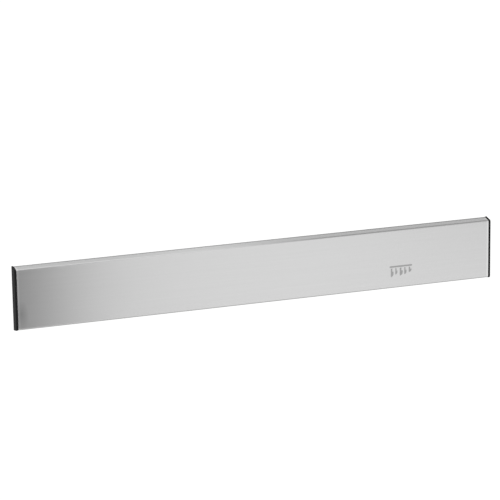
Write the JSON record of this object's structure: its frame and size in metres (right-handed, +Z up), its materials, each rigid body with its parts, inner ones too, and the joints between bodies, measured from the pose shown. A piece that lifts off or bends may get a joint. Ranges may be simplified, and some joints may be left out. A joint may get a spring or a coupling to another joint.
{
  "type": "magnetic knife rack",
  "caption": "Wall-mounted magnetic knife rack: a folded satin stainless cover over ferrite magnets, with pull-off black end caps and keyholes in its back plate.",
  "frame": {"origin": "the middle of the rear face, where the back plate lies flush against the wall", "axes": "+X along the rack to the right of someone facing it, +Y out of the back into the wall, so that the knife face looks along -Y, +Z up"},
  "size_m": [0.5, 0.0103, 0.0636],
  "materials": {
    "satin_stainless": "fine satin brushing along the length",
    "zinc_plated_steel": "bright zinc plating over steel sheet",
    "black_plastic": "black moulded, fine spark texture",
    "ferrite": "sintered and ground, dark grey",
    "carrier_plastic": "natural moulded plastic",
    "foam_tape": "white closed-cell foam"
  },
  "bodies": {
    "rack": {"front_cover": "satin_stainless", "back_plate": "zinc_plated_steel", "magnet_01": "ferrite", "magnet_02": "ferrite", "magnet_03": "ferrite", "magnet_04": "ferrite", "magnet_05": "ferrite", "magnet_06": "ferrite", "magnet_07": "ferrite", "magnet_08": "ferrite", "magnet_09": "ferrite", "magnet_10": "ferrite", "magnet_carrier_left": "carrier_plastic", "magnet_carrier_centre": "carrier_plastic", "magnet_carrier_right": "carrier_plastic", "foam_tape_left": "foam_tape", "foam_tape_centre": "foam_tape", "foam_tape_right": "foam_tape"},
    "cap_left": {"end_cap_left": "black_plastic"},
    "cap_right": {"end_cap_right": "black_plastic"}
  },
  "joints": [
    {"name": "left_cap_pull", "type": "slide", "parent": "rack", "child": "cap_left", "axis": [-1, 0, 0], "range_m": [0, 0.018]},
    {"name": "right_cap_pull", "type": "slide", "parent": "rack", "child": "cap_right", "axis": [1, 0, 0], "range_m": [0, 0.018]}
  ]
}
